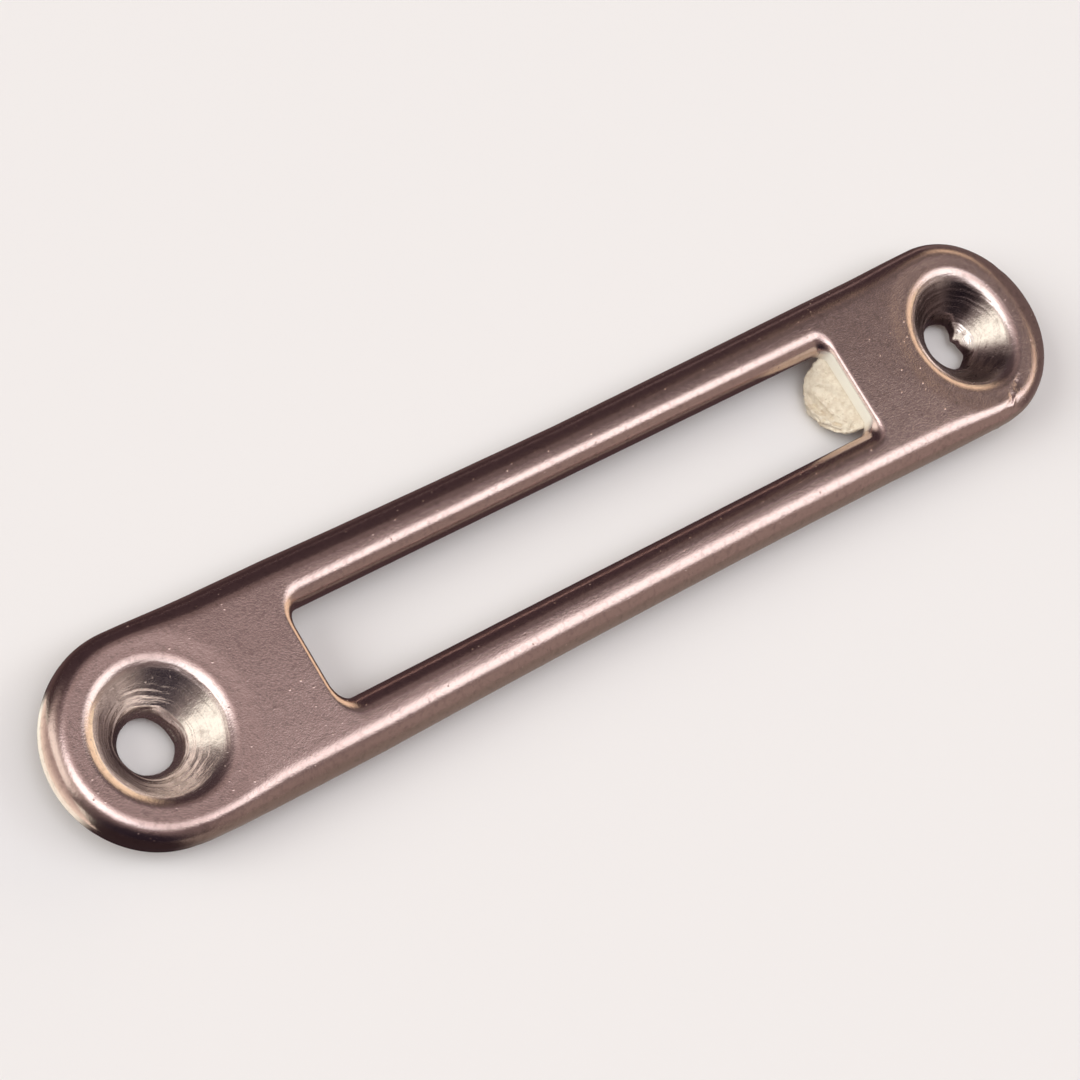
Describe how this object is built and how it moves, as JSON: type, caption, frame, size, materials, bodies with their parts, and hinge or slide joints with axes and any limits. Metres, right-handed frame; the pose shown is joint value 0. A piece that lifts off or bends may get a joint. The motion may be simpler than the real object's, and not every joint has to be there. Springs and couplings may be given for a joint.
{
  "type": "door strike plate",
  "caption": "Pressed nickel-plated steel strike plate with rounded ends, a long slot for the bolt, a tongue bent down from the slot and countersunk screw holes.",
  "frame": {"origin": "midway between the axes of the two screw holes, on the plane where their bores end at the back, which is 1.2 mm behind the rim that lies on the door frame", "axes": "+X along the plate towards the end that carries the tongue, +Y across the plate, +Z out of the seen face, along the screws' axes"},
  "size_m": [0.07, 0.012, 0.0034],
  "materials": {
    "nickel_plated_steel": "bright nickel plate on pressed steel, slightly worn, with fine draw marks in the dimples"
  },
  "bodies": {
    "root": {"strike_plate": "nickel_plated_steel"}
  },
  "joints": []
}
